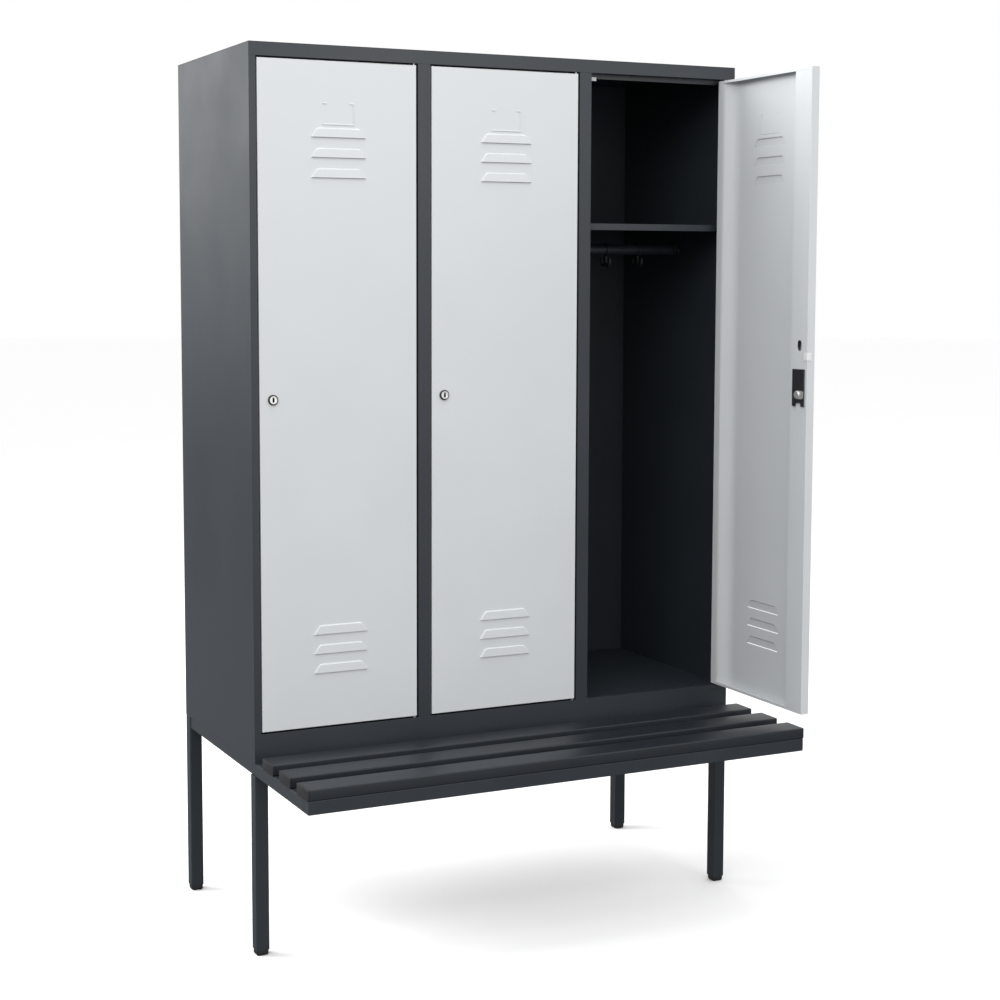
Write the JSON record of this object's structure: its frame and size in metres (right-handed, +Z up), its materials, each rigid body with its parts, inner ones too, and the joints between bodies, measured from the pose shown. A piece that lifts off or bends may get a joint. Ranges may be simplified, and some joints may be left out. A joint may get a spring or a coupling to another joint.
{
  "type": "locker",
  "caption": "Three-door steel clothes locker on a tube frame with a slatted bench in front; the right door stands open on a hat shelf and a coat rail",
  "frame": {"origin": "On the floor, under the middle of the bounding box with the right door open at a right angle; 72.1 mm behind the plane of the closed doors", "axes": "+X to the right along the front, +Y from the front to the back, +Z up"},
  "size_m": [1.2, 0.8558, 1.955],
  "materials": {
    "anthracite_paint": "anthracite powder coat, fine texture, satin",
    "light_grey_paint": "light grey powder coat, satin",
    "black_plastic": "black moulded plastic, fine grain",
    "slat_plastic": "anthracite plastic profile, satin",
    "white_plastic": "off-white soft plastic",
    "zinc_steel": "zinc plated steel",
    "lock_chrome": "nickel plated, satin"
  },
  "bodies": {
    "root": {"side_panel_left": "anthracite_paint", "side_panel_right": "anthracite_paint", "back_panel": "anthracite_paint", "roof_panel": "anthracite_paint", "floor_panel": "anthracite_paint", "partition_left": "anthracite_paint", "partition_right": "anthracite_paint", "frame_top_rail": "anthracite_paint", "frame_bottom_rail": "anthracite_paint", "frame_stile_left": "anthracite_paint", "frame_stile_mid_left": "anthracite_paint", "frame_stile_mid_right": "anthracite_paint", "frame_stile_right": "anthracite_paint", "hat_shelves": "anthracite_paint", "shelf_clips": "anthracite_paint", "coat_rails": "anthracite_paint", "rail_sockets": "black_plastic", "hinge_pins": "zinc_steel", "door_stop_buffers": "white_plastic", "leg_front_left": "anthracite_paint", "leg_front_right": "anthracite_paint", "leg_rear_left": "anthracite_paint", "leg_rear_right": "anthracite_paint", "bench_arms": "anthracite_paint", "bench_front_rail": "anthracite_paint", "bench_mid_rail": "anthracite_paint", "bench_rear_rail": "anthracite_paint", "foot_plugs": "black_plastic", "slat_front": "slat_plastic", "slat_middle": "slat_plastic", "slat_rear": "slat_plastic", "slat_screws": "zinc_steel", "body_bolts": "zinc_steel"},
    "door_left": {"door_panel_left": "light_grey_paint", "lock_channel_left": "light_grey_paint", "lock_case_left": "black_plastic", "lock_barrel_left": "lock_chrome", "edge_buffer_left": "white_plastic"},
    "lock_left": {"lock_cam_left": "lock_chrome"},
    "door_middle": {"door_panel_middle": "light_grey_paint", "lock_channel_middle": "light_grey_paint", "lock_case_middle": "black_plastic", "lock_barrel_middle": "lock_chrome", "edge_buffer_middle": "white_plastic"},
    "lock_middle": {"lock_cam_middle": "lock_chrome"},
    "door_right": {"door_panel_right": "light_grey_paint", "lock_channel_right": "light_grey_paint", "lock_case_right": "black_plastic", "lock_barrel_right": "lock_chrome", "edge_buffer_right": "white_plastic"},
    "lock_right": {"lock_cam_right": "lock_chrome"},
    "hook_left_1": {"coat_hook_left_1": "black_plastic"},
    "hook_left_2": {"coat_hook_left_2": "black_plastic"},
    "hook_left_3": {"coat_hook_left_3": "black_plastic"},
    "hook_middle_1": {"coat_hook_middle_1": "black_plastic"},
    "hook_middle_2": {"coat_hook_middle_2": "black_plastic"},
    "hook_middle_3": {"coat_hook_middle_3": "black_plastic"},
    "hook_right_1": {"coat_hook_right_1": "black_plastic"},
    "hook_right_2": {"coat_hook_right_2": "black_plastic"},
    "hook_right_3": {"coat_hook_right_3": "black_plastic"}
  },
  "joints": [
    {"name": "door_left_hinge", "type": "hinge", "parent": "root", "child": "door_left", "pos_m": [-0.2234, -0.0679, 1.2073], "axis": [0, 0, 1], "range_deg": [0, 110]},
    {"name": "lock_left_turn", "type": "hinge", "parent": "door_left", "child": "lock_left", "pos_m": [-0.5528, -0.0521, 1.2075], "axis": [0, -1, 0], "range_deg": [0, 90]},
    {"name": "door_middle_hinge", "type": "hinge", "parent": "root", "child": "door_middle", "pos_m": [0.1766, -0.0679, 1.2073], "axis": [0, 0, 1], "range_deg": [0, 110]},
    {"name": "lock_middle_turn", "type": "hinge", "parent": "door_middle", "child": "lock_middle", "pos_m": [-0.1528, -0.0521, 1.2075], "axis": [0, -1, 0], "range_deg": [0, 90]},
    {"name": "door_right_hinge", "type": "hinge", "parent": "root", "child": "door_right", "pos_m": [0.5766, -0.0679, 1.2073], "axis": [0, 0, 1], "range_deg": [-90, 20]},
    {"name": "lock_right_turn", "type": "hinge", "parent": "door_right", "child": "lock_right", "pos_m": [0.5608, -0.3973, 1.2075], "axis": [1, 0, 0], "range_deg": [0, 90]},
    {"name": "hook_left_1_slide", "type": "slide", "parent": "root", "child": "hook_left_1", "axis": [1, 0, 0], "range_m": [-0.085, 0.04]},
    {"name": "hook_left_2_slide", "type": "slide", "parent": "root", "child": "hook_left_2", "axis": [1, 0, 0], "range_m": [-0.04, 0.04]},
    {"name": "hook_left_3_slide", "type": "slide", "parent": "root", "child": "hook_left_3", "axis": [1, 0, 0], "range_m": [-0.04, 0.085]},
    {"name": "hook_middle_1_slide", "type": "slide", "parent": "root", "child": "hook_middle_1", "axis": [1, 0, 0], "range_m": [-0.085, 0.04]},
    {"name": "hook_middle_2_slide", "type": "slide", "parent": "root", "child": "hook_middle_2", "axis": [1, 0, 0], "range_m": [-0.04, 0.04]},
    {"name": "hook_middle_3_slide", "type": "slide", "parent": "root", "child": "hook_middle_3", "axis": [1, 0, 0], "range_m": [-0.04, 0.085]},
    {"name": "hook_right_1_slide", "type": "slide", "parent": "root", "child": "hook_right_1", "axis": [1, 0, 0], "range_m": [-0.085, 0.04]},
    {"name": "hook_right_2_slide", "type": "slide", "parent": "root", "child": "hook_right_2", "axis": [1, 0, 0], "range_m": [-0.04, 0.04]},
    {"name": "hook_right_3_slide", "type": "slide", "parent": "root", "child": "hook_right_3", "axis": [1, 0, 0], "range_m": [-0.04, 0.085]}
  ]
}
